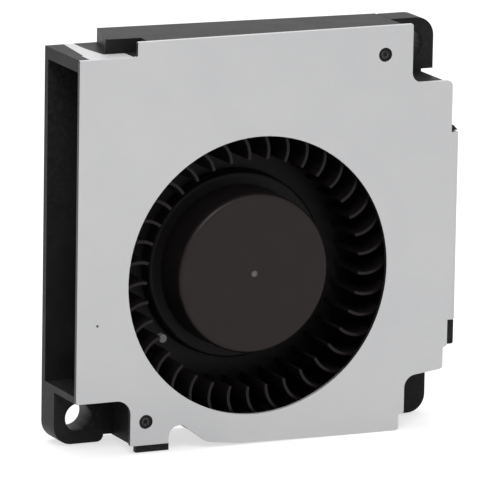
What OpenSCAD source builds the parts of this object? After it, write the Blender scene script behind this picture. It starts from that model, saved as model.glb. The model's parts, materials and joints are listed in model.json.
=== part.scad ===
// DC blower: a flat centrifugal fan with a metal inlet cover, standing upright.
// It is drawn in the plane of the fan: x to the right, y up, z from the rear face to the
// inlet. stand() turns that plane upright, so that the inlet looks along -Y, the outlet
// opens towards -X, and the origin is the middle of the bottom.

/* [Casing] */
// Width and height of the square cover
casing_w = 70; // [68:0.5:76]
// Depth over all, rear face to cover face
depth = 15; // [14.5:0.1:17]
// Thickness of the rear wall
base_t = 1.4; // [1.2:0.05:1.6]
// Thickness of the scroll wall
wall_t = 1.5; // [1.2:0.05:1.8]
// Inset of the moulding from the left edge of the cover
inset_left = 0.15; // [0:0.05:0.4]
// Fall of the casing's top face from the outlet side to the far side
top_fall = 0.9; // [0.5:0.05:1.1]
// Inset of the upper ear from the top edge of the cover
inset_top = 0.85; // [0.6:0.05:1]
// Inset of the upper ear from the right edge of the cover
inset_right = 0.65; // [0.5:0.05:0.8]
// Inset of the ears from the bottom edge of the cover
inset_low = 0.3; // [0.1:0.05:0.6]
// Height of the stops beside the side flange, above the moulding
stop_h = 0.8; // [0.4:0.05:0.8]

/* [Scroll and outlet] */
// Shaft axis from the left edge of the cover
axis_x = 33; // [32.5:0.1:33.8]
// Gap between the wheel and the scroll at its tightest
cutoff_gap = 1.9; // [1.7:0.05:2.2]
// Inside bottom of the outlet, from the bottom of the cover
duct_floor = 10.6; // [10.4:0.1:11.6]
// Inside top of the outlet, below the top of the cover
duct_roof_drop = 4.6; // [4.2:0.1:5]
// Thickness of the outlet's bottom wall
duct_floor_t = 1.15; // [0.9:0.05:1.4]
// Drop of the outlet's top face below the top of the cover
duct_top_drop = 2.5; // [2.2:0.1:2.8]

/* [Ears] */
// Width of a mounting ear
ear_w = 9.05; // [8.6:0.05:9.6]
// Height of a mounting ear
ear_h = 8.9; // [8.6:0.05:9]
// Thickness of a mounting ear
ear_t = 5.4; // [4.5:0.1:6.5]
// Diameter of a mounting hole
ear_hole_d = 4.9; // [4.2:0.1:5.3]
// Mounting hole from the two outer edges of its ear
ear_hole_in = 4.5; // [4.2:0.05:4.8]
// Outer corner radius of an ear
ear_r = 3.2; // [2:0.1:4]

/* [Cover] */
// Thickness of the cover sheet
cover_t = 0.8; // [0.6:0.05:1]
// Diameter of the inlet
inlet_d = 47.5; // [44:0.5:49]
// Width of the cover's notch at the lower left ear
notch_ll_w = 9.9; // [9.6:0.05:10.2]
// Height of that notch
notch_ll_h = 9.45; // [9.1:0.05:9.6]
// Width of the cover's notch at the upper right ear
notch_tr_w = 9.1; // [8.8:0.05:9.5]
// Height of that notch
notch_tr_h = 10.1; // [9.8:0.05:10.5]
// Width of the cover's notch at the lower right ear
notch_br_w = 9.4; // [9:0.05:9.8]
// Height of that notch at the outer edge
notch_br_h = 10.1; // [9.8:0.05:10.4]
// Set-back of the cover's bottom corner beside that notch
heel_w = 1; // [0.6:0.05:1.4]
// Height of that set-back
heel_h = 2.9; // [2.4:0.1:3.4]
// Height of the cover's gap beside the foot
foot_gap_h = 4.4; // [4:0.05:4.8]
// Drop of the plain side edge from the flanged side edge
side_step = 1.5; // [1.3:0.05:1.7]
// Lower end of the side flange
flange_y0 = 18.5; // [17.5:0.1:20]
// Upper end of the side flange
flange_y1 = 50.9; // [48:0.1:52]
// Depth of the side flange
flange_leg = 5.5; // [4:0.1:7]
// Depth of the tab bent over the outlet's top wall
tab_leg = 4.3; // [3.5:0.1:5]
// Left end of that tab
tab_x0 = 2.1; // [1.8:0.1:2.6]
// Right end of that tab
tab_x1 = 9.9; // [9.5:0.1:10]
// Left end of the cover's flat edge above the outlet
step_x = 10.4; // [10.2:0.05:10.8]
// Width of the strip that runs from the tab to the rear, at its rear end
strip_w = 1.8; // [1.4:0.1:2.2]
// Shift of the strip's rear end to the right
strip_shift = 1.4; // [1:0.1:1.6]
// Growth of the strip's right side towards the tab
strip_flare = 0.8; // [0.4:0.1:1]
// Right end of the recess for the tab
recess_x1 = 12.8; // [11.5:0.1:14]

/* [Cover pins] */
// Diameter of a pin's head
pin_head_d = 2.4; // [2:0.1:2.6]
// Diameter of a pin's shank
pin_shank_d = 1.6; // [1.2:0.1:1.7]
// Length of a pin's shank in its post
pin_len = 5; // [3:0.5:8]
// Lower pin from the left edge
pin_low_x = 12.75; // [12.6:0.05:13.4]
// Lower pin from the bottom edge
pin_low_y = 5.5; // [5.2:0.1:5.8]
// Upper pin from the right edge
pin_high_in = 14.25; // [13.9:0.05:14.6]
// Upper pin from the top edge
pin_high_drop = 4.95; // [4.8:0.05:5.3]

/* [Wheel] */
// Outer radius of the blades
wheel_r = 25.2; // [24.6:0.1:25.8]
// Inner radius of the blades
blade_in_r = 19.5; // [19:0.1:20]
// Number of blades
blade_count = 37; // [31:1:43]
// Thickness of a blade
blade_t = 0.5; // [0.4:0.05:0.6]
// Lead of a blade's outer tip over its inner edge, in degrees
blade_lead = 6; // [4:0.5:8]
// Rise of a blade's arc over its chord
blade_bow = 1; // [0.7:0.05:1.3]
// Blade tips below the cover face
blade_drop = 2.1; // [1.8:0.1:2.6]
// Radius of the hub
hub_r = 13.7; // [13.4:0.05:14]
// Growth of the hub's radius from its face to its step
hub_draft = 0.2; // [0.1:0.05:0.4]
// Radius of the step round the hub's base
step_r = 16; // [15.6:0.1:16.6]
// Height of that step above the wheel's floor
step_h = 2.9; // [2.2:0.1:3.6]
// Hub face below the cover face
hub_drop = 1.6; // [1.4:0.05:1.8]
// Radius of the hub's front edge
hub_edge_r = 0.9; // [0.5:0.05:1]
// Thickness of the hub's front wall
hub_top_t = 1.1; // [1:0.05:1.3]
// Thickness of the hub's side wall at the front
hub_wall = 1.1; // [0.95:0.05:1.2]
// Thickness of the wheel's floor
disc_t = 0.9; // [0.7:0.05:1.1]
// Gap between the wheel's floor and the rear wall
disc_gap = 0.8; // [0.6:0.05:1]
// Diameter of the gate mark on the hub
gate_d = 1.1; // [0.8:0.1:1.4]

/* [Rotor] */
// Thickness of the steel cup
cup_t = 0.7; // [0.6:0.05:0.8]
// Thickness of the ring magnet
magnet_t = 1.2; // [1:0.05:1.4]
// Gap between the magnet and the stator
air_gap = 0.35; // [0.25:0.05:0.5]
// Shaft diameter
shaft_d = 3; // [2.8:0.1:3.1]
// Radius of the brass bush that holds the shaft
bush_r = 3; // [2.6:0.1:3.4]
// Length of that bush
bush_len = 1.4; // [1.2:0.05:1.6]
// Wire diameter of the preload spring
spring_wire = 0.3; // [0.25:0.05:0.4]
// Turns of the preload spring
spring_turns = 3; // [2:1:4]

/* [Bearings] */
// Outside diameter of a bearing
bearing_od = 8; // [7.8:0.1:8.4]
// Width of a bearing
bearing_w = 3; // [2.8:0.1:3.1]
// Balls in a bearing
ball_count = 7; // [6:1:8]
// Ball diameter
ball_d = 1.2; // [1.1:0.05:1.3]
// Play between a ball and its grooves
ball_play = 0.04; // [0.03:0.01:0.06]
// Wall of the brass bearing tube
tube_wall = 0.9; // [0.8:0.05:1.1]

/* [Motor] */
// Number of stator teeth
teeth = 4; // [4:1:4]
// Height of the lamination stack
core_h = 3.5; // [3:0.1:3.8]
// Width of a tooth
tooth_w = 3; // [2.6:0.1:3.4]
// Ring of the core around the bearing tube
core_ring_t = 1.5; // [1.2:0.1:1.7]
// Thickness of the tooth tips
tip_t = 1; // [0.8:0.05:1.2]
// Opening between two tooth tips
slot_w = 1.6; // [1.3:0.1:2]
// Thickness of an insulator
insulator_t = 0.5; // [0.4:0.05:0.6]
// Build-up of a winding on its tooth
coil_t = 1; // [0.7:0.05:1]
// Thickness of the circuit board
board_t = 0.7; // [0.6:0.05:0.8]
// Outer radius of the circuit board
board_r = 11.4; // [11:0.1:11.7]

/* [Hidden] */
$fn = 96;
eps = 0.01;

// Scroll and outlet, in the plane of the fan
rim_z = depth - cover_t;
right_x = casing_w - cover_t;
ear_right_x = casing_w - inset_right;
ear_top_y = casing_w - inset_top;
scroll_top_y = casing_w - top_fall * 0.7;
scroll_r0 = wheel_r + cutoff_gap;
axis_y = scroll_r0 + wall_t + inset_low;
scroll_r1 = scroll_top_y - wall_t - axis_y;
scroll_a0 = 280;
scroll_a1 = 450;
scroll_steps = 60;
duct_roof = casing_w - duct_roof_drop;
duct_top = casing_w - duct_top_drop;
roof_slope = (axis_y + scroll_r1 - duct_roof) / axis_x;
mouth_x = -5;
tongue_a = 180 + asin((axis_y - duct_floor) / scroll_r0);

// Ears, the walls beside them, and what the cover's edge follows
ear_x1 = inset_left + ear_w;
relief_r = 1.2;
web = 2;
bottom_x1 = casing_w - notch_br_w;
top_x1 = casing_w - notch_tr_w;
side_y1 = casing_w - notch_tr_h;
plain_x = casing_w - side_step;
low_side_x = plain_x - 0.75;
low_side_y = flange_y0 - 4.8;
heel_x1 = bottom_x1 - heel_w;
notch_br_slope = 0.9;
sole_x0 = 50;
under_cover = 0.2;
side_r = 1.9;
edge_gap = 0.25;
tongue_tab_y = 1.5;
post_r = 3.1;
pins = [[pin_low_x, pin_low_y], [casing_w - pin_high_in, casing_w - pin_high_drop]];
foot_x0 = pin_low_x - 1.85;
foot_x1 = pin_low_x + 4.2;
foot_y0 = 1.3;
lip_x0 = pin_low_x - 1.45;
lip_x1 = foot_x1 + 0.35;
lip_y0 = 0.15;
lip_y1 = 1.4;
lip_d = 1;
gap_r = 1.9;
gap_x1 = foot_x1 + 2.5;
gap_x2 = foot_x1 + 7;
gap_y2 = 1.1;
bow_x = foot_x1 + 13;
bow_y = 0.35;
bow_r = 20;
ear_holes = [[inset_left + ear_hole_in, inset_low + ear_hole_in],
    [ear_right_x - ear_hole_in, ear_top_y - ear_hole_in]];
lug_y0 = flange_y0 - 4.4;
lug_y1 = flange_y1 + 1.1;
block_x0 = tab_x0 + 4.5;
block_x1 = tab_x1 - 0.4;
block_z = depth - tab_leg - edge_gap;
strip_x1 = tab_x0 + strip_shift + strip_w;

// Heights above the rear face
disc_z = base_t + disc_gap;
floor_z1 = disc_z + disc_t;
step_z = floor_z1 + step_h;
step_edge_r = 0.5;
step_wall = 0.9;
blade_z1 = depth - blade_drop;
hub_z1 = depth - hub_drop;
cup_z1 = hub_z1 - hub_top_t;
seat_r = 7;
seat_h = 0.5;
board_z = base_t + seat_h;
part_z = board_z + board_t;
part_room = 1.5;
cup_z0 = part_z + part_room;
tube_z0 = 0.5;
tube_z1 = cup_z1 - cup_t - 0.6;
rear_bearing_z = 1.6;
front_bearing_z = tube_z1 - bearing_w - 1.3;
bush_z0 = cup_z1 - cup_t - 0.2;
label_r = 11.7;
label_t = 0.15;
label_recess = 0.25;
label_gap = 0.2;
ring_z = 1;
ring_t = 0.4;

// Radii of the motor
cup_r = hub_r - hub_wall;
magnet_r = cup_r - cup_t;
stator_r = magnet_r - magnet_t - air_gap;
tube_r = bearing_od / 2 + tube_wall;
core_ring_r = tube_r + core_ring_t;
core_z = cup_z0 + 1;
shaft_r = shaft_d / 2;
pitch_r = (bearing_od / 2 + shaft_r) / 2;
groove_r = ball_d / 2 + ball_play;
land_gap = 0.42;
shield_t = 0.2;
tooth_r1 = stator_r - tip_t;
coil_r0 = core_ring_r + 0.2;
coil_r1 = tooth_r1 - 0.35;
guard_t = 0.3;
guard_h = 1;
winding_pin_r = core_ring_r - 0.75;
winding_pin_t = 0.3;
wire_a = -35;
wire_w = 3.2;
wire_d = 0.8;
wire_window = 2.2;

// Small parts
part_r = 8.8;
capacitor_l = 1.3;
capacitor_w = 2;
capacitor_h = 0.9;
resistor_l = 0.8;
resistor_w = 1.6;
resistor_h = 0.5;
driver_l = 3.9;
driver_w = 3;
driver_h = 1;
hall_at_r = 9.6;
hall_l = 1.5;
hall_w = 2.6;
hall_h = 0.9;
foot_w = 0.3;
foot_l = 0.5;
pad_r0 = 0.7;
pad_r1 = 0.35;
pad_h = 0.5;
pin_head_t = 0.2;
gate_depth = 0.12;
shield_gap = 0.1;
cage_t = 0.35;
cage_h = 1.6;
coil_end = 0.45;
ring_bite = 0.3;
ring_w = 0.7;
shaft_z0 = 0.55;
spring_r = shaft_r + 0.35;
blade_steps = 8;
blade_first = 5.5;
putty_blade = 21;
putty_a = 1.6;
putty_in = 0.4;
putty_r = 0.7;
putty_h = 1.2;
putty_drop = 1.5;

// Turns the plane of the fan upright
module stand() {
    translate([-casing_w / 2, depth / 2, 0])
        rotate([90, 0, 0])
            children();
}

// Puts its children on the shaft axis at height z
module on_axis(z = 0) {
    translate([axis_x, axis_y, z])
        children();
}

module tube(r_out, r_in, h) {
    difference() {
        cylinder(r = r_out, h = h);
        translate([0, 0, -eps])
            cylinder(r = r_in, h = h + 2 * eps);
    }
}

module around(count, first = 0) {
    for (i = [0:count - 1])
        rotate([0, 0, first + 360 * i / count])
            children();
}

function unit(v) = v / norm(v);
function polar(r, a) = [r * cos(a), r * sin(a)];
function scroll_r(a) =
    scroll_r0 + (scroll_r1 - scroll_r0) * max(0, (a - scroll_a0) / (scroll_a1 - scroll_a0));
function scroll_points(extra) =
    [for (i = [0:scroll_steps]) let (a = tongue_a + (scroll_a1 - tongue_a) * i / scroll_steps)
        [axis_x, axis_y] + polar(scroll_r(a) + extra, a)];

// Corner b of an outline, rounded to radius r between its neighbours a and c
function corner(a, b, c, r, steps = 8) =
    let (u = unit(a - b), v = unit(c - b), half = acos(u * v) / 2,
        centre = b + unit(u + v) * r / sin(half), p = b + u * r / tan(half) - centre,
        side = sign(u.x * v.y - u.y * v.x), start = atan2(p.y, p.x))
    [for (i = [0:steps]) centre + polar(r, start - side * (180 - 2 * half) * i / steps)];

// Outline through [x, y, radius] points
function rounded(path) =
    let (n = len(path), p = [for (q = path) [q.x, q.y]])
    [for (i = [0:n - 1])
        each (path[i][2] > 0 ? corner(p[(i + n - 1) % n], p[i], p[(i + 1) % n], path[i][2]) : [p[i]])];

module box_2d(x0, y0, x1, y1) {
    translate([x0, y0])
        square([x1 - x0, y1 - y0]);
}

// Box with its upper right corner rounded
module corner_box_2d(x0, y0, x1, y1, r) {
    polygon(rounded([[x0, y0, 0], [x1, y0, 0], [x1, y1, r], [x0, y1, 0]]));
}

// Scroll and outlet duct as one open space
module cavity_2d() {
    polygon(concat([[mouth_x, duct_floor]], scroll_points(0),
        [[mouth_x, duct_roof + mouth_x * roof_slope]]));
}

// The scroll and the outlet duct to the outside of their walls
module shell_2d() {
    polygon(concat([[inset_left, duct_floor - duct_floor_t]], scroll_points(wall_t),
        [[axis_x, casing_w], [block_x1, casing_w], [block_x1, duct_top], [inset_left, duct_top]]));
}

// Walls along the bottom, right and top of a box
module wall_box_2d(x0, y0, x1, y1, r = 0) {
    difference() {
        corner_box_2d(x0, y0, x1, y1, r);
        box_2d(x0 - 1, y0 + wall_t, x1 - wall_t, y1 - wall_t);
    }
}

// Corner at the lower right, as the cover's edge has it
module heel_2d() {
    polygon([[axis_x, inset_low], [sole_x0, 0], [heel_x1 - under_cover, 0], [heel_x1 - under_cover, heel_h],
        [bottom_x1, heel_h], [bottom_x1, axis_y], [axis_x, axis_y]]);
}

module heel_wall_2d() {
    difference() {
        heel_2d();
        box_2d(axis_x - 1, inset_low + wall_t, heel_x1 - wall_t, axis_y - wall_t);
        box_2d(axis_x - 1, heel_h + wall_t, bottom_x1 - wall_t, axis_y - wall_t);
    }
}

// The cover's gap beside the foot, as [x, y, radius] points
function gap_path() = [[foot_x1, foot_gap_h, gap_r], [gap_x1, foot_gap_h, 1.5], [gap_x2, gap_y2, 2.5]];

// What the casing leaves clear behind that gap
module foot_gap_2d() {
    offset(delta = under_cover)
        polygon(rounded(concat([[foot_x1, -1, 0]], gap_path(), [[gap_x2, -1, 0]])));
}

// Foot under the scroll's tongue, which holds the lower cover pin
module foot_2d() {
    box_2d(foot_x0, foot_y0, foot_x1, duct_floor);
}

// Everything that the rear wall covers, without the ears
module floor_2d() {
    shell_2d();
    foot_2d();
    heel_2d();
    box_2d(axis_x, notch_br_h, low_side_x, axis_y);
    box_2d(axis_x, axis_y, top_x1, casing_w);
    box_2d(axis_x, lug_y0, right_x, lug_y1);
    corner_box_2d(axis_x, axis_y, plain_x, side_y1, side_r);
}

// Walls that carry the cover: scroll, duct, foot, corners and the upper pin's post
module walls_2d() {
    difference() {
        union() {
            difference() {
                shell_2d();
                box_2d(recess_x1, axis_y, casing_w, casing_w);
            }
            polygon(concat([[axis_x, axis_y]], scroll_points(wall_t),
                [[axis_x, casing_w], [recess_x1, casing_w], [recess_x1, axis_y]]));
            foot_2d();
            heel_wall_2d();
            wall_box_2d(axis_x, notch_br_h, low_side_x, axis_y);
            wall_box_2d(axis_x, axis_y, top_x1, casing_w);
            wall_box_2d(axis_x, lug_y0, right_x, lug_y1);
            wall_box_2d(axis_x, lug_y1 - wall_t, plain_x, side_y1, side_r);
            translate(pins[1])
                circle(r = post_r);
        }
        cavity_2d();
    }
}

// An ear whose outer corner is at the origin
module ear_2d() {
    polygon(rounded([[0, 0, ear_r], [ear_w, 0, relief_r], [ear_w, ear_h, 0], [0, ear_h, 0]]));
}

// The three ears and the webs that join them to the walls
module ears_2d() {
    difference() {
        union() {
            translate([inset_left, inset_low])
                ear_2d();
            translate([ear_right_x, ear_top_y])
                rotate(180)
                    ear_2d();
            translate([right_x, inset_low])
                mirror([1, 0])
                    ear_2d();
            box_2d(inset_left, inset_low + ear_h - web, ear_x1, duct_floor);
            box_2d(ear_x1 - web, inset_low + relief_r, foot_x0 + 1, duct_floor);
            box_2d(top_x1 - web, side_y1 - web, right_x - web, ear_top_y - web);
            box_2d(bottom_x1 - web, inset_low + relief_r, right_x - ear_w + web, lug_y0 + web);
            box_2d(bottom_x1 - web, inset_low + ear_h - web, right_x - web, lug_y0 + web);
        }
        cavity_2d();
    }
}

// Block at the end of the outlet's top wall, which stops the cover's tab
module tab_block() {
    translate([0, casing_w, 0])
        rotate([90, 0, 0])
            linear_extrude(casing_w - duct_top + eps)
                polygon(rounded([[block_x1, 0, 0], [recess_x1 + 1, 0, 0], [recess_x1 + 1, block_z, 0],
                    [block_x0, block_z, 0.5]]));
}

// What is cut off above the casing's sloping top face
module above_top() {
    translate([0, 0, -1])
        linear_extrude(depth + 2)
            polygon([[-1, casing_w], [0, casing_w], [casing_w, casing_w - top_fall],
                [casing_w + 1, casing_w - top_fall], [casing_w + 1, casing_w + 1], [-1, casing_w + 1]]);
}

// Lip in front of the foot, right behind the cover's tongue
module foot_lip() {
    translate([lip_x0, lip_y0, rim_z - lip_d])
        cube([lip_x1 - lip_x0, lip_y1 - lip_y0, lip_d]);
}

// Stops at both ends of the side flange, the upper one a ramp
module flange_stops() {
    linear_extrude(rim_z) {
        polygon(rounded([[right_x - 1, lug_y0, 0], [right_x + stop_h, lug_y0, 0.4],
            [right_x + stop_h, flange_y0 - edge_gap, 0], [right_x - 1, flange_y0 - edge_gap, 0]]));
        polygon([[right_x - 1, flange_y1 + edge_gap], [right_x + stop_h, flange_y1 + edge_gap],
            [right_x, lug_y1], [right_x - 1, lug_y1]]);
    }
}

// Recesses for the cover's tab and the strip behind it
module tab_recess() {
    translate([tab_x0, duct_top - cover_t, depth - tab_leg])
        cube([tab_x1 + edge_gap - tab_x0, cover_t + 1, depth]);
    translate([tab_x0, duct_top, block_z])
        cube([recess_x1 - tab_x0, casing_w, depth]);
    translate([0, duct_top - cover_t, 0])
        strip(cover_t + 1);
}

// Strip along the outlet's top wall, from the tab to the rear
module strip(t) {
    translate([0, t, 0])
        rotate([90, 0, 0])
            linear_extrude(t)
                polygon([[tab_x0, rim_z], [tab_x0 + strip_shift, 0], [strip_x1, 0], [strip_x1, depth / 3],
                    [strip_x1 + strip_flare, depth - tab_leg], [strip_x1 + strip_flare, rim_z]]);
}

// Window beside the motor seat and the channel for the leads on the rear face
module wire_channel() {
    on_axis(-1)
        rotate([0, 0, wire_a])
            translate([seat_r + 0.6, -wire_w / 2, 0]) {
                cube([wire_window, wire_w, base_t + 2]);
                cube([casing_w, wire_w, 1 + wire_d]);
            }
}

module housing() {
    color([0.13, 0.12, 0.12])
    stand()
    difference() {
        union() {
            difference() {
                union() {
                    linear_extrude(base_t)
                        floor_2d();
                    linear_extrude(rim_z)
                        walls_2d();
                }
                translate([0, 0, -1])
                    linear_extrude(depth + 2)
                        foot_gap_2d();
            }
            linear_extrude(ear_t)
                ears_2d();
            tab_block();
            foot_lip();
            flange_stops();
            on_axis()
                cylinder(r = seat_r, h = board_z);
        }
        above_top();
        tab_recess();
        wire_channel();
        for (p = ear_holes)
            translate([p.x, p.y, -1])
                cylinder(d = ear_hole_d, h = ear_t + 2);
        for (p = pins)
            translate([p.x, p.y, rim_z - pin_len])
                cylinder(d = pin_shank_d, h = pin_len + 1);
        on_axis(-1)
            cylinder(r = tube_r, h = board_z + 2);
        on_axis(-1)
            cylinder(r = label_r + label_gap, h = 1 + label_recess);
    }
}

// Outline of the cover, with its notches at the ears and beside the foot
module cover_2d() {
    difference() {
        polygon(rounded([
            [notch_ll_w, tongue_tab_y, 0.3], [foot_x1, tongue_tab_y, 0], each gap_path(),
            [bow_x, bow_y, bow_r], [sole_x0, 0.05, 0], [heel_x1, 0, 0.6], [heel_x1, heel_h, 0.3],
            [bottom_x1, heel_h, 0.3], [bottom_x1, notch_br_h - notch_br_slope, 2.2],
            [low_side_x, notch_br_h, 0.6], [low_side_x, low_side_y, 0],
            [plain_x, low_side_y + 0.4, 0], [plain_x, side_y1, 1], [top_x1, side_y1, 1.8],
            [top_x1, casing_w, 0.3], [step_x, casing_w, 0.3], [step_x, duct_top, 0.3],
            [0, duct_top, 0.3], [0, notch_ll_h, 0.3], [notch_ll_w, notch_ll_h, 2.5]]));
        translate([axis_x, axis_y])
            circle(d = inlet_d, $fn = 180);
    }
}

// Sheet bent back at a right angle: len along y, leg deep, its outer face on x = 0
module flange(len, leg) {
    rotate([90, 0, 0])
        mirror([0, 0, 1])
            linear_extrude(len) {
                box_2d(-cover_t, -leg, 0, -cover_t);
                box_2d(-cover_t - 1, -cover_t, -cover_t, 0);
                translate([-cover_t, -cover_t])
                    intersection() {
                        circle(r = cover_t);
                        square(cover_t);
                    }
            }
}

module top_cover() {
    color([0.78, 0.78, 0.79])
    stand() {
        difference() {
            translate([0, 0, rim_z])
                linear_extrude(cover_t)
                    cover_2d();
            for (p = pins)
                translate([p.x, p.y, rim_z]) {
                    translate([0, 0, -1])
                        cylinder(d = pin_shank_d, h = cover_t + 2);
                    translate([0, 0, cover_t / 2])
                        cylinder(d = pin_head_d, h = cover_t);
                }
        }
        translate([plain_x - 1, flange_y0, rim_z])
            cube([right_x - plain_x + 1, flange_y1 - flange_y0, cover_t]);
        translate([casing_w, flange_y0, depth])
            flange(flange_y1 - flange_y0, flange_leg);
        translate([tab_x1, duct_top, depth])
            rotate([0, 0, 90])
                flange(tab_x1 - tab_x0, tab_leg);
        translate([0, duct_top - cover_t, 0])
            strip(cover_t);
    }
}

// Plastic pins whose heads sit in the cover's stepped holes, a little below its face
module cover_pins() {
    color([0.1, 0.1, 0.1])
    stand()
    for (p = pins)
        translate([p.x, p.y, 0])
            difference() {
                union() {
                    translate([0, 0, rim_z - pin_len])
                        cylinder(d = pin_shank_d, h = pin_len + cover_t / 2);
                    translate([0, 0, rim_z + cover_t / 2])
                        cylinder(d = pin_head_d, h = pin_head_t);
                }
                translate([0, 0, rim_z])
                    cylinder(d = pin_shank_d / 2, h = cover_t);
            }
}

// Brass tube pressed into the rear wall, with a web between the two bearing seats
module bearing_tube() {
    color([0.80, 0.66, 0.36])
    stand()
    on_axis()
    difference() {
        translate([0, 0, tube_z0])
            cylinder(r = tube_r, h = tube_z1 - tube_z0);
        translate([0, 0, tube_z0 - 1])
            cylinder(d = bearing_od, h = rear_bearing_z + bearing_w - tube_z0 + 1);
        translate([0, 0, front_bearing_z])
            cylinder(d = bearing_od, h = tube_z1);
        cylinder(d = bearing_od - 1.6, h = depth);
    }
}

// Profile of a bearing's two rings, cut by the ball groove
module race(r0, r1, z) {
    translate([0, 0, z])
        rotate_extrude()
            difference() {
                translate([r0, 0])
                    square([r1 - r0, bearing_w]);
                translate([pitch_r, bearing_w / 2])
                    circle(r = groove_r);
            }
}

module outer_race(z) {
    color([0.72, 0.73, 0.75])
    stand()
    on_axis()
        race(pitch_r + land_gap, bearing_od / 2, z);
}

module inner_race(z) {
    color([0.75, 0.76, 0.78])
    stand()
    on_axis()
        race(shaft_r, pitch_r - land_gap, z);
}

module balls(z) {
    color([0.85, 0.86, 0.88])
    stand()
    on_axis(z + bearing_w / 2)
        around(ball_count)
            translate([pitch_r, 0, 0])
                sphere(d = ball_d, $fn = 48);
}

// Ring with a pocket for each ball
module cage(z) {
    color([0.62, 0.55, 0.40])
    stand()
    on_axis(z + bearing_w / 2)
        difference() {
            translate([0, 0, -cage_h / 2])
                tube(pitch_r + cage_t / 2, pitch_r - cage_t / 2, cage_h);
            around(ball_count)
                translate([pitch_r - 1, 0, 0])
                    rotate([0, 90, 0])
                        cylinder(r = groove_r, h = 2);
        }
}

// Two thin rings in the outer race, clear of the inner one
module shields(z) {
    color([0.66, 0.67, 0.69])
    stand()
    for (dz = [0, bearing_w - shield_t])
        on_axis(z + dz)
            tube(pitch_r + land_gap, pitch_r - land_gap + shield_gap, shield_t);
}

module front_outer_race() {
    outer_race(front_bearing_z);
}

module rear_outer_race() {
    outer_race(rear_bearing_z);
}

module front_inner_race() {
    inner_race(front_bearing_z);
}

module rear_inner_race() {
    inner_race(rear_bearing_z);
}

module front_balls() {
    balls(front_bearing_z);
}

module rear_balls() {
    balls(rear_bearing_z);
}

module front_cage() {
    cage(front_bearing_z);
}

module rear_cage() {
    cage(rear_bearing_z);
}

module front_bearing_shields() {
    shields(front_bearing_z);
}

module rear_bearing_shields() {
    shields(rear_bearing_z);
}

// Outline of the lamination stack: ring, teeth and tooth tips; grow widens the ring and teeth
module core_2d(grow = 0) {
    circle(r = core_ring_r + grow);
    intersection() {
        around(teeth)
            translate([0, -tooth_w / 2 - grow])
                square([stator_r, tooth_w + 2 * grow]);
        circle(r = tooth_r1 + tip_t / 2);
    }
    difference() {
        circle(r = stator_r);
        circle(r = tooth_r1);
        around(teeth, 180 / teeth)
            translate([0, -slot_w / 2])
                square([stator_r + 1, slot_w]);
    }
}

module stator_core() {
    color([0.45, 0.46, 0.48])
    stand()
    on_axis(core_z)
    linear_extrude(core_h)
        difference() {
            core_2d();
            circle(r = tube_r);
        }
}

// End plate on the stack with a guard wall behind each tooth tip
module insulator() {
    linear_extrude(insulator_t)
        difference() {
            core_2d();
            circle(r = tube_r);
        }
    around(teeth)
        linear_extrude(insulator_t + guard_h)
            intersection() {
                difference() {
                    circle(r = tooth_r1 + guard_t);
                    circle(r = tooth_r1 - eps);
                }
                translate([0, -tooth_w])
                    square([stator_r, 2 * tooth_w]);
            }
}

module front_insulator() {
    color([0.86, 0.84, 0.78])
    stand()
    on_axis(core_z + core_h)
        insulator();
}

module rear_insulator() {
    color([0.86, 0.84, 0.78])
    stand()
    on_axis(core_z)
        difference() {
            mirror([0, 0, 1])
                insulator();
            winding_pin_holes();
        }
}

// Where the terminal pins stand: in the rear insulator's ring, between the teeth
module at_winding_pins() {
    for (i = [0:2])
        rotate([0, 0, 180 / teeth + 360 / teeth * i])
            translate([winding_pin_r, 0, 0])
                children();
}

module winding_pin_holes() {
    at_winding_pins()
        translate([0, 0, -insulator_t - 1])
            cylinder(r = winding_pin_t, h = insulator_t + 1);
}

// Tin-plated pins from the circuit board into the rear insulator
module winding_pins() {
    color([0.80, 0.80, 0.78])
    stand()
    on_axis(board_z)
        at_winding_pins()
            cylinder(r = winding_pin_t, h = core_z - board_z);
}

// One coil round each tooth, over both insulators
module windings() {
    color([0.72, 0.36, 0.16])
    stand()
    on_axis(core_z + core_h / 2)
        around(teeth)
            difference() {
                coil_block(tooth_w / 2 + coil_t, core_h / 2 + insulator_t + coil_end);
                translate([-1, 0, 0])
                    coil_block(tooth_w / 2, core_h / 2 + insulator_t, 2);
            }
}

module coil_block(half_w, half_h, extra = 0) {
    translate([coil_r0, -half_w, -half_h])
        cube([coil_r1 - coil_r0 + extra, 2 * half_w, 2 * half_h]);
}

module circuit_board() {
    color([0.10, 0.36, 0.20])
    stand()
    on_axis(board_z)
        difference() {
            tube(board_r, tube_r, board_t);
            at_winding_pins()
                translate([0, 0, -1])
                    cylinder(r = winding_pin_t, h = board_t + 2);
        }
}

// A flat package on the board, w across, l along the radius, with solder feet on two sides
module chip(r, a, l, w, h, feet) {
    rotate([0, 0, a])
        translate([r, 0, 0]) {
            translate([-l / 2, -w / 2, 0])
                cube([l, w, h]);
            for (side = [-1, 1], i = [0:feet - 1])
                translate([l * (i + 0.5) / feet - l / 2 - foot_w / 2, side * (w / 2 + 0.2) - foot_l / 2, 0])
                    cube([foot_w, foot_l, h / 2]);
        }
}

module driver_chip() {
    color([0.12, 0.12, 0.13])
    stand()
    on_axis(part_z)
        chip(part_r, 225, driver_l, driver_w, driver_h, 4);
}

module hall_sensor() {
    color([0.15, 0.15, 0.15])
    stand()
    on_axis(part_z)
        chip(hall_at_r, 90, hall_l, hall_w, hall_h, 3);
}

module capacitor() {
    color([0.70, 0.58, 0.42])
    stand()
    on_axis(part_z)
        chip(part_r, 0, capacitor_l, capacitor_w, capacitor_h, 1);
}

module resistors() {
    color([0.16, 0.16, 0.18])
    stand()
    on_axis(part_z)
        for (a = [150, 180, 270])
            chip(part_r, a, resistor_l, resistor_w, resistor_h, 1);
}

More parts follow.
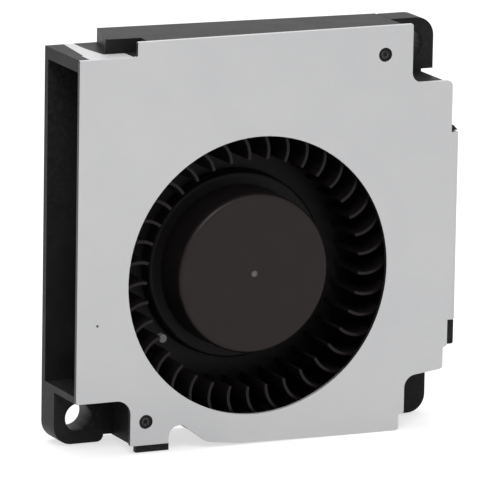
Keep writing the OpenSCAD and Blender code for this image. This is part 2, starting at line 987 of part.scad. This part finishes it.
// Solder domes where the leads would join the board
module solder_pads() {
    color([0.80, 0.80, 0.78])
    stand()
    on_axis(part_z)
        for (a = [-11, 0, 11])
            rotate([0, 0, wire_a + a])
                translate([hall_at_r, 0, 0])
                    cylinder(r1 = pad_r0, r2 = pad_r1, h = pad_h);
}

// Plain disc over the motor seat
module rear_label() {
    color([0.85, 0.85, 0.83])
    stand()
    on_axis(label_recess - label_t)
        cylinder(r = label_r, h = label_t);
}

// One blade: an arc that bulges against the rotation, which is anticlockwise from the front
module blade_2d() {
    root = [blade_in_r, 0];
    tip = polar(wheel_r - blade_t / 2, blade_lead);
    chord = norm(tip - root);
    bow_r = (chord * chord / 4 + blade_bow * blade_bow) / (2 * blade_bow);
    along = unit(tip - root);
    centre = (root + tip) / 2 + [-along.y, along.x] * (bow_r - blade_bow);
    mid_a = atan2(-along.x, along.y);
    half_a = asin(chord / 2 / bow_r);
    angles = [for (i = [0:blade_steps]) mid_a + half_a * (2 * i / blade_steps - 1)];
    polygon(concat(
        [for (i = [0:blade_steps]) centre + polar(bow_r + blade_t / 2, angles[i])],
        [for (i = [blade_steps:-1:0]) centre + polar(bow_r - blade_t / 2, angles[i])]));
}

// Half section of the hub: a cup with a rounded front edge, open to the rear
module hub_profile() {
    difference() {
        union() {
            polygon([[0, disc_z], [step_r + 0.3, disc_z], [step_r, step_z - step_edge_r],
                [step_r - step_edge_r, step_z], [hub_r + hub_draft, step_z], [hub_r, hub_z1 - hub_edge_r],
                [hub_r - hub_edge_r, hub_z1 - hub_edge_r], [hub_r - hub_edge_r, hub_z1], [0, hub_z1]]);
            intersection() {
                translate([hub_r - hub_edge_r, hub_z1 - hub_edge_r])
                    circle(r = hub_edge_r);
                square([hub_r, hub_z1]);
            }
            intersection() {
                translate([step_r - step_edge_r, step_z - step_edge_r])
                    circle(r = step_edge_r);
                square([step_r, step_z]);
            }
        }
        translate([hub_r, disc_z - 1])
            square([step_r - step_wall - hub_r, step_z - step_wall - disc_z + 1]);
        translate([-1, disc_z - 1])
            square([cup_r + 1, cup_z1 - disc_z + 1]);
        translate([-1, cup_z1 - 1])
            square([bush_r + 1, bush_z0 + bush_len - cup_z1 + 1]);
        translate([-1, hub_z1 - gate_depth])
            square([1 + gate_d / 2, 1]);
    }
}

// Wheel in one moulding: hub, floor and blades
module impeller() {
    color([0.17, 0.155, 0.155])
    stand()
    on_axis() {
        rotate_extrude()
            hub_profile();
        translate([0, 0, disc_z])
            tube(wheel_r, step_r, disc_t);
        translate([0, 0, floor_z1 - eps])
            linear_extrude(blade_z1 - floor_z1 + eps)
                around(blade_count, blade_first)
                    blade_2d();
    }
}

// Drawn steel cup inside the hub
module rotor_cup() {
    color([0.55, 0.56, 0.58])
    stand()
    on_axis()
    difference() {
        translate([0, 0, cup_z0])
            cylinder(r = cup_r, h = cup_z1 - cup_z0);
        translate([0, 0, cup_z0 - 1])
            cylinder(r = magnet_r, h = cup_z1 - cup_t - cup_z0 + 1);
        cylinder(r = bush_r, h = depth);
    }
}

module magnet_ring() {
    color([0.20, 0.19, 0.19])
    stand()
    on_axis(cup_z0 + 0.2)
        tube(magnet_r, magnet_r - magnet_t, cup_z1 - cup_t - 0.3 - cup_z0);
}

module shaft_bush() {
    color([0.80, 0.66, 0.36])
    stand()
    on_axis(bush_z0)
        tube(bush_r, shaft_r, bush_len);
}

// Shaft with a groove for the retaining ring
module shaft() {
    color([0.80, 0.81, 0.83])
    stand()
    on_axis()
    difference() {
        translate([0, 0, shaft_z0])
            cylinder(r = shaft_r, h = bush_z0 + bush_len - shaft_z0);
        translate([0, 0, ring_z])
            tube(shaft_r + 1, shaft_r - ring_bite, ring_t);
    }
}

// Open ring in the shaft's groove, against the rear bearing
module retaining_ring() {
    color([0.35, 0.36, 0.38])
    stand()
    on_axis(ring_z)
        difference() {
            tube(shaft_r + ring_w, shaft_r - ring_bite, ring_t);
            translate([0, -0.5, -1])
                cube([shaft_r + ring_w + 1, 1, ring_t + 2]);
        }
}

// Coil spring that pushes the front inner race away from the bush
module preload_spring() {
    z0 = front_bearing_z + bearing_w + spring_wire / 2 + 0.02;
    z1 = bush_z0 - spring_wire / 2 - 0.02;
    steps = 20;
    sides = 8;
    rings = spring_turns * steps;
    points = [for (i = [0:rings], k = [0:sides - 1])
        let (a = 360 * i / steps, b = 360 * k / sides, r = spring_r + spring_wire / 2 * cos(b))
            [r * cos(a), r * sin(a), z0 + (z1 - z0) * i / rings + spring_wire / 2 * sin(b)]];
    faces = [for (i = [0:rings - 1], k = [0:sides - 1])
        let (n = (k + 1) % sides, q = i * sides)
            [q + k, q + n, q + sides + n, q + sides + k]];
    ends = [[for (k = [0:sides - 1]) sides - 1 - k], [for (k = [0:sides - 1]) rings * sides + k]];
    color([0.70, 0.71, 0.73])
    stand()
    on_axis()
        polyhedron(points, concat(faces, ends), convexity = 4);
}

// Dab of putty against the inner edge of one blade, which balances the wheel
module balance_putty() {
    color([0.80, 0.78, 0.72])
    stand()
    on_axis(blade_z1 - putty_drop)
        rotate([0, 0, blade_first + 360 * putty_blade / blade_count])
            linear_extrude(putty_h)
                difference() {
                    translate(polar(blade_in_r - putty_in, putty_a))
                        circle(r = putty_r, $fn = 32);
                    blade_2d();
                }
}

housing();
top_cover();
cover_pins();
bearing_tube();
stator_core();
front_insulator();
rear_insulator();
windings();
winding_pins();
circuit_board();
hall_sensor();
driver_chip();
capacitor();
resistors();
solder_pads();
rear_label();
front_outer_race();
rear_outer_race();
front_bearing_shields();
rear_bearing_shields();
impeller();
rotor_cup();
magnet_ring();
shaft();
shaft_bush();
front_inner_race();
rear_inner_race();
preload_spring();
retaining_ring();
balance_putty();
front_balls();
front_cage();
rear_balls();
rear_cage();
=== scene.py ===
"""Looks of a flat DC blower: pale sheet cover, black casing and a dark bladed wheel behind the inlet."""

import json
import math

import bpy
from mathutils import Matrix, Vector


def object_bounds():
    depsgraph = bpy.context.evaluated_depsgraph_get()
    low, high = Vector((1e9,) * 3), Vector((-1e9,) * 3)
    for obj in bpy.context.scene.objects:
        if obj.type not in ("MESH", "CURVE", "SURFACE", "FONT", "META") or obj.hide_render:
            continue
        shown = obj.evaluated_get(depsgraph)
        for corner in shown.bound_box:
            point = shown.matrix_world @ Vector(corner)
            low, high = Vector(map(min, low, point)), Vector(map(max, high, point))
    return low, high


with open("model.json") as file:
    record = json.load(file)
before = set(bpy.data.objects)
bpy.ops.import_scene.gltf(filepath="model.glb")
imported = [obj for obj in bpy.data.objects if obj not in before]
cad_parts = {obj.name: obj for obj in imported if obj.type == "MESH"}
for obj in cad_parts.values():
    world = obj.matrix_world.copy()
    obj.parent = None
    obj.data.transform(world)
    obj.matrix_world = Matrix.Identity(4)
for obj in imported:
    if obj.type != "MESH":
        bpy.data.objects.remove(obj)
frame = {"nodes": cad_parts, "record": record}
nodes = frame["nodes"]
cad_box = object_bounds()
MM = 0.001


# ---------------------------------------------------------------- materials

PIN_HEAD_R = 1.2
PIN_HEAD_Y = -7.1
SPECK_MM = (-31.3, -7.5, 22.6)
GATE_R = 0.6


def corners_mm(node):
    """Lowest and highest corner of a node's mesh, in millimetres."""
    points = [v.co / MM for v in nodes[node].data.vertices]
    return [[pick(p[i] for p in points) for i in range(3)] for pick in (min, max)]


def pin_places():
    """(x, z) of the two cover pins, which lie in opposite corners of their node."""
    low, high = corners_mm("cover_pins")
    return [(low[0] + PIN_HEAD_R, low[2] + PIN_HEAD_R), (high[0] - PIN_HEAD_R, high[2] - PIN_HEAD_R)]


spin = next(j for j in frame["record"]["behaviour"]["joints"] if j["name"] == "rotor_spin")
AXIS_X, _, AXIS_Z = (a / MM for a in spin["pos_m"])
HUB_FACE_Y = corners_mm("impeller")[0][1]


class Shade:
    """A node material built up step by step, with a Principled shader at its end."""

    def __init__(self, name, colour, rough, metallic=0.0, specular=0.5):
        self.mat = bpy.data.materials.new(name)
        self.mat.use_nodes = True
        self.mat.diffuse_color = (*colour, 1)
        self.tree = self.mat.node_tree
        self.bsdf = self.tree.nodes["Principled BSDF"]
        self.set(self.bsdf, "Base Color", (*colour, 1))
        self.set(self.bsdf, "Roughness", rough)
        self.set(self.bsdf, "Metallic", metallic)
        self.set(self.bsdf, "Specular IOR Level", specular)
        self.coords = self.add("ShaderNodeTexCoord")
        self.height = None

    def add(self, kind, **values):
        node = self.tree.nodes.new(kind)
        for key, value in values.items():
            setattr(node, key, value)
        return node

    def set(self, node, socket, value):
        """Sets a socket to a constant, or links another node's output to it."""
        if isinstance(value, bpy.types.NodeSocket):
            self.tree.links.new(value, node.inputs[socket])
        else:
            node.inputs[socket].default_value = value

    def place(self, scale=(1, 1, 1)):
        """Object coordinates in millimetres, stretched by scale."""
        mapping = self.add("ShaderNodeMapping")
        self.set(mapping, "Vector", self.coords.outputs["Object"])
        self.set(mapping, "Scale", [s / MM for s in scale])
        return mapping.outputs["Vector"]

    def noise(self, per_mm, detail=3.0, rough=0.55, stretch=(1, 1, 1), distortion=0.0):
        node = self.add("ShaderNodeTexNoise")
        self.set(node, "Vector", self.place(stretch))
        self.set(node, "Scale", per_mm)
        self.set(node, "Detail", detail)
        self.set(node, "Roughness", rough)
        self.set(node, "Distortion", distortion)
        return node.outputs["Fac"]

    def ramp(self, fac, stops):
        """Maps fac through (position, grey or colour) stops."""
        node = self.add("ShaderNodeValToRGB")
        self.set(node, "Fac", fac)
        elements = node.color_ramp.elements
        while len(elements) < len(stops):
            elements.new(0.5)
        for element, (at, value) in zip(elements, stops):
            element.position = at
            element.color = (*value, 1) if isinstance(value, tuple) else (value, value, value, 1)
        return node.outputs["Color"]

    def math(self, kind, a, b):
        node = self.add("ShaderNodeMath", operation=kind)
        for i, value in enumerate((a, b)):
            self.set(node, i, value)
        return node.outputs[0]

    def mix(self, fac, a, b):
        node = self.add("ShaderNodeMix", data_type="RGBA")
        self.set(node, "Factor", fac)
        for socket, value in zip((6, 7), (a, b)):
            self.set(node, socket, (*value, 1) if isinstance(value, tuple) else value)
        return node.outputs[2]

    def spot(self, at_mm, radius_mm, soft=0.15):
        """1 within radius_mm of a point in the frame, 0 beyond it, with a soft rim."""
        node = self.add("ShaderNodeVectorMath", operation="DISTANCE")
        self.set(node, 0, self.coords.outputs["Object"])
        self.set(node, 1, [a * MM for a in at_mm])
        span = self.math("DIVIDE", node.outputs["Value"], radius_mm * MM)
        return self.ramp(span, [(1 - soft, 1.0), (1.0, 0.0)])

    def layer(self, y_mm, depth_mm):
        """1 in front of the plane y_mm, falling to 0 within depth_mm behind it."""
        parts = self.add("ShaderNodeSeparateXYZ")
        self.set(parts, "Vector", self.coords.outputs["Object"])
        back = self.math("SUBTRACT", parts.outputs["Y"], y_mm * MM)
        return self.ramp(self.math("DIVIDE", back, depth_mm * MM), [(0.0, 1.0), (1.0, 0.0)])

    def facing(self, axis, sign):
        """1 on faces whose normal points along the axis with the given sign."""
        parts = self.add("ShaderNodeSeparateXYZ")
        self.set(parts, "Vector", self.add("ShaderNodeNewGeometry").outputs["True Normal"])
        return self.ramp(self.math("MULTIPLY", parts.outputs[axis], sign), [(0.45, 0.0), (0.7, 1.0)])

    def bump(self, height, strength, depth_mm):
        """Adds a layer of bump whose full height is depth_mm."""
        node = self.add("ShaderNodeBump")
        self.set(node, "Height", height)
        self.set(node, "Strength", strength)
        self.set(node, "Distance", depth_mm * MM)
        if self.height:
            self.set(node, "Normal", self.height)
        self.height = node.outputs["Normal"]
        self.set(self.bsdf, "Normal", self.height)


def moulded(name, colour, rough=0.5, grain=0.012, worn=0.03, specular=0.4):
    """Moulded plastic: fine grain, cloudy gloss and paler rubbed edges."""
    s = Shade(name, colour, rough, specular=specular)
    fine = s.noise(9.0, detail=2.0)
    cloud = s.noise(0.22, detail=4.0)
    dark = tuple(c * 0.86 for c in colour)
    pale = tuple(c * 1.14 + 0.001 for c in colour)
    tone = s.mix(s.ramp(cloud, [(0.35, 0.0), (0.65, 1.0)]), dark, pale)
    edge = s.add("ShaderNodeNewGeometry").outputs["Pointiness"]
    patches = s.ramp(s.noise(1.6), [(0.4, 0.0), (0.7, 1.0)])
    rub = s.math("MULTIPLY", s.ramp(edge, [(0.52, 0.0), (0.6, 1.0)]), patches)
    s.set(s.bsdf, "Base Color", s.mix(rub, tone, tuple(c + worn for c in colour)))
    s.set(s.bsdf, "Roughness", s.math("ADD", s.math("MULTIPLY", cloud, 0.16), rough - 0.08))
    s.bump(fine, 0.5, grain)
    return s.mat


def wheel_plastic():
    """Brown-black moulding: smooth hub face with a gate mark painted pale as a painted highlight, matt
    between the blades and darkened there by painted shade.
    """
    s = Shade("wheel_plastic", (0.015, 0.0095, 0.0095), 0.34, specular=0.2)
    cloud = s.noise(0.22, detail=4.0)
    face = s.layer(HUB_FACE_Y, 1.2)
    shade = s.ramp(cloud, [(0.35, 0.0), (0.65, 1.0)])
    skin = s.mix(shade, (0.0135, 0.0086, 0.0086), (0.0165, 0.0105, 0.0104))
    # painted shade: the wheel's colour darkens from the hub face to 1.2 mm behind it, down between the
    # blades
    skin = s.mix(face, (0.0085, 0.0072, 0.0075), skin)
    dust = s.ramp(s.noise(1.3, detail=6.0, rough=0.8), [(0.62, 0.0), (0.75, 1.0)])
    skin = s.mix(s.math("MULTIPLY", dust, 0.5), skin, (0.03, 0.028, 0.027))
    # the gate mark is real; its pale colour is a painted highlight for the glint a small raised nub would
    # catch
    skin = s.mix(s.spot((AXIS_X, HUB_FACE_Y, AXIS_Z), GATE_R), skin, (0.15, 0.137, 0.13))
    s.set(s.bsdf, "Base Color", skin)
    s.set(s.bsdf, "Specular IOR Level", s.math("ADD", s.math("MULTIPLY", face, 0.12), 0.09))
    s.set(s.bsdf, "Roughness", s.math("ADD", s.math("MULTIPLY", cloud, 0.12), 0.30))
    s.bump(s.noise(6.0, detail=2.0), 0.4, 0.004)
    return s.mat


def pin_plastic():
    """Black plastic pin, its head's middle rubbed pale round the hole."""
    s = Shade("pin_plastic", (0.006, 0.006, 0.006), 0.4, specular=0.15)
    mottle = s.noise(2.6, detail=5.0, rough=0.7)
    skin = s.mix(s.ramp(mottle, [(0.4, 0.0), (0.65, 1.0)]), (0.004, 0.004, 0.004), (0.010, 0.010, 0.010))
    worn = s.ramp(mottle, [(0.38, 0.15), (0.6, 1.0)])
    for x, z in pin_places():
        head = (x, PIN_HEAD_Y, z)
        skin = s.mix(s.math("MULTIPLY", s.spot(head, 0.75), worn), skin, (0.085, 0.085, 0.088))
        skin = s.mix(s.spot(head, 0.34), skin, (0.006, 0.006, 0.006))
    s.set(s.bsdf, "Base Color", skin)
    s.bump(mottle, 0.6, 0.03)
    return s.mat


def metal(name, colour, rough=0.3, brush=(1, 1, 1), per_mm=4.0, depth=0.004):
    """Bare metal with tool marks along the axis that brush leaves long."""
    s = Shade(name, colour, rough, metallic=1.0)
    marks = s.noise(per_mm, detail=4.0, stretch=brush)
    cloud = s.noise(0.5, detail=3.0)
    dark = tuple(c * 0.82 for c in colour)
    s.set(s.bsdf, "Base Color", s.mix(s.ramp(cloud, [(0.3, 0.0), (0.7, 1.0)]), dark, colour))
    s.set(s.bsdf, "Roughness", s.math("ADD", s.math("MULTIPLY", marks, 0.2), rough - 0.1))
    s.bump(marks, 0.5, depth)
    return s.mat


def cover_sheet():
    """Pale plated sheet: satin, faintly mottled, one dark speck, and painted shade on the edge faces that
    face left.
    """
    s = Shade("cover_sheet", (0.60, 0.60, 0.61), 0.42, metallic=0.35)
    cloud = s.noise(0.06, detail=5.0, rough=0.6)
    mottle = s.noise(2.2, detail=4.0, rough=0.7)
    tone = s.mix(s.ramp(cloud, [(0.3, 0.0), (0.7, 1.0)]), (0.575, 0.578, 0.587), (0.615, 0.615, 0.622))
    speck = s.ramp(s.noise(1.1, detail=6.0, rough=0.8), [(0.68, 0.0), (0.74, 1.0)])
    tone = s.mix(s.math("MULTIPLY", speck, 0.25), tone, (0.45, 0.45, 0.46))
    tone = s.mix(s.spot(SPECK_MM, 0.3, soft=0.5), tone, (0.05, 0.05, 0.05))
    # painted shade: edge faces whose normal points along -X are painted near black, as if in shadow
    s.set(s.bsdf, "Base Color", s.mix(s.facing("X", -1), tone, (0.03, 0.03, 0.032)))
    s.set(s.bsdf, "Roughness", s.math("ADD", s.math("MULTIPLY", mottle, 0.18), 0.36))
    s.bump(mottle, 0.35, 0.006)
    s.bump(s.noise(7.0, detail=2.0, stretch=(0.15, 1, 1)), 0.3, 0.002)
    return s.mat


LOOKS = {
    "casing_plastic": moulded("casing_plastic", (0.0135, 0.0125, 0.0130), 0.46, worn=0.015, specular=0.1),
    "cover_sheet": cover_sheet(),
    "pin_plastic": pin_plastic(),
    "wheel_plastic": wheel_plastic(),
    "brass": metal("brass", (0.62, 0.45, 0.17), 0.28, (1, 6, 1)),
    "lamination": metal("lamination", (0.22, 0.23, 0.25), 0.45, (1, 12, 1), depth=0.02),
    "insulator": moulded("insulator", (0.68, 0.64, 0.54), 0.5),
    "copper": metal("copper", (0.55, 0.16, 0.05), 0.3, (1, 9, 1), depth=0.06),
    "tin": metal("tin", (0.62, 0.62, 0.60), 0.3),
    "board": moulded("board", (0.012, 0.10, 0.035), 0.35),
    "chip": moulded("chip", (0.018, 0.018, 0.020), 0.55),
    "ceramic": moulded("ceramic", (0.42, 0.28, 0.14), 0.45),
    "label_film": moulded("label_film", (0.66, 0.66, 0.64), 0.5, grain=0.004, worn=0.0),
    "bearing_steel": metal("bearing_steel", (0.50, 0.51, 0.53), 0.2),
    "ball_steel": metal("ball_steel", (0.66, 0.67, 0.69), 0.08, depth=0.0005),
    "cage_brass": metal("cage_brass", (0.35, 0.26, 0.13), 0.32),
    "cup_steel": metal("cup_steel", (0.30, 0.31, 0.33), 0.34, (1, 5, 1)),
    "magnet": moulded("magnet", (0.030, 0.029, 0.029), 0.6),
    "shaft_steel": metal("shaft_steel", (0.58, 0.59, 0.62), 0.14, (1, 0.2, 1), depth=0.001),
    "spring_steel": metal("spring_steel", (0.45, 0.46, 0.48), 0.25),
    "clip_steel": metal("clip_steel", (0.10, 0.10, 0.11), 0.35),
    "putty": moulded("putty", (0.11, 0.105, 0.10), 0.55, grain=0.05, worn=0.0),
}

for entry in frame["record"]["subparts"]:
    mesh = nodes[entry["node"]].data
    mesh.materials.clear()
    mesh.materials.append(LOOKS[entry["material_slot"]])


# ---------------------------------------------------------------- edges


def round_edges(node, width_mm):
    """Joins the solid's flat facets and rolls its sharp edges over."""
    o = nodes[node]
    weld = o.modifiers.new("weld", "WELD")
    weld.merge_threshold = 1e-6
    flat = o.modifiers.new("flat", "DECIMATE")
    flat.decimate_type = "DISSOLVE"
    flat.angle_limit = math.radians(0.3)
    bevel = o.modifiers.new("bevel", "BEVEL")
    bevel.width = width_mm * MM
    bevel.segments = 2
    bevel.limit_method = "ANGLE"
    bevel.angle_limit = math.radians(30)
    bevel.harden_normals = True


round_edges("housing", 0.15)
round_edges("top_cover", 0.06)


# ---------------------------------------------------------------- camera, light, stage

# The camera stands in front of the inlet: its offset is in its own axes and in inlet radii
MIDDLE = Vector((0, 0, 35)) * MM
AMBIENT = 0.6
FLOOR_M = 4
FLOOR_GLOW = 0.66
INLET_R = 23.73 * MM
INLET = Vector((-2.05, -7.5, 28.91)) * MM
AZIMUTH, ELEVATION, ROLL = math.radians(24.9045), math.radians(12.3036), math.radians(-0.9792)
OFFSET = Vector((-0.0591, 0.1819, 47.504))

camera = bpy.data.objects.new("camera", bpy.data.cameras.new("camera"))
bpy.context.collection.objects.link(camera)
turn = (
    Matrix.Rotation(-AZIMUTH, 4, "Z")
    @ Matrix.Rotation(math.pi / 2 - ELEVATION, 4, "X")
    @ Matrix.Rotation(-ROLL, 4, "Z")
)
camera.matrix_world = Matrix.Translation(INLET + turn @ OFFSET * INLET_R) @ turn
camera.data.sensor_width = 36
camera.data.lens = 485.39
camera.data.clip_start = 0.1
bpy.context.scene.camera = camera


def lamp(name, at_mm, size_mm, watts):
    """A square soft light that faces the middle of the fan."""
    light = bpy.data.lights.new(name, "AREA")
    light.size = size_mm * MM
    light.energy = watts
    o = bpy.data.objects.new(name, light)
    bpy.context.collection.objects.link(o)
    o.location = Vector(at_mm) * MM
    aim = MIDDLE - o.location
    o.rotation_mode = "QUATERNION"
    o.rotation_quaternion = aim.to_track_quat("-Z", "Y")


lamp("key", (-200, -400, 470), 240, 1.35)
lamp("top", (60, 150, 700), 400, 2.0)

def seen_or_plain(tree, plain, seen):
    """A socket: seen for camera, mirror and glass rays, plain for all others."""
    path = tree.nodes.new("ShaderNodeLightPath")
    looked_at = path.outputs["Is Camera Ray"]
    for name in ("Is Glossy Ray", "Is Transmission Ray"):
        either = tree.nodes.new("ShaderNodeMath")
        either.operation = "MAXIMUM"
        tree.links.new(looked_at, either.inputs[0])
        tree.links.new(path.outputs[name], either.inputs[1])
        looked_at = either.outputs[0]
    choice = tree.nodes.new("ShaderNodeMix")
    choice.inputs["A"].default_value = plain
    choice.inputs["B"].default_value = seen
    tree.links.new(looked_at, choice.inputs["Factor"])
    return choice.outputs["Result"]


world = bpy.data.worlds.new("world")
world.use_nodes = True
bpy.context.scene.world = world
tree = world.node_tree
sky = tree.nodes["Background"]
sky.inputs["Color"].default_value = (1, 1, 1, 1)
tree.links.new(seen_or_plain(tree, AMBIENT, 1.0), sky.inputs["Strength"])

bpy.ops.mesh.primitive_plane_add(size=FLOOR_M, location=(0, 0, cad_box[0].z))
floor = bpy.context.object
floor.name = "floor"
s = Shade("floor_paper", (0.50, 0.50, 0.50), 0.9, specular=0.0)
s.set(s.bsdf, "Base Color", s.mix(s.noise(0.02), (0.49, 0.49, 0.49), (0.51, 0.51, 0.51)))
s.set(s.bsdf, "Emission Color", (1, 1, 1, 1))
s.set(s.bsdf, "Emission Strength", seen_or_plain(s.tree, 0.0, FLOOR_GLOW))
floor.data.materials.append(s.mat)

scene = bpy.context.scene
scene.view_settings.view_transform = "Standard"
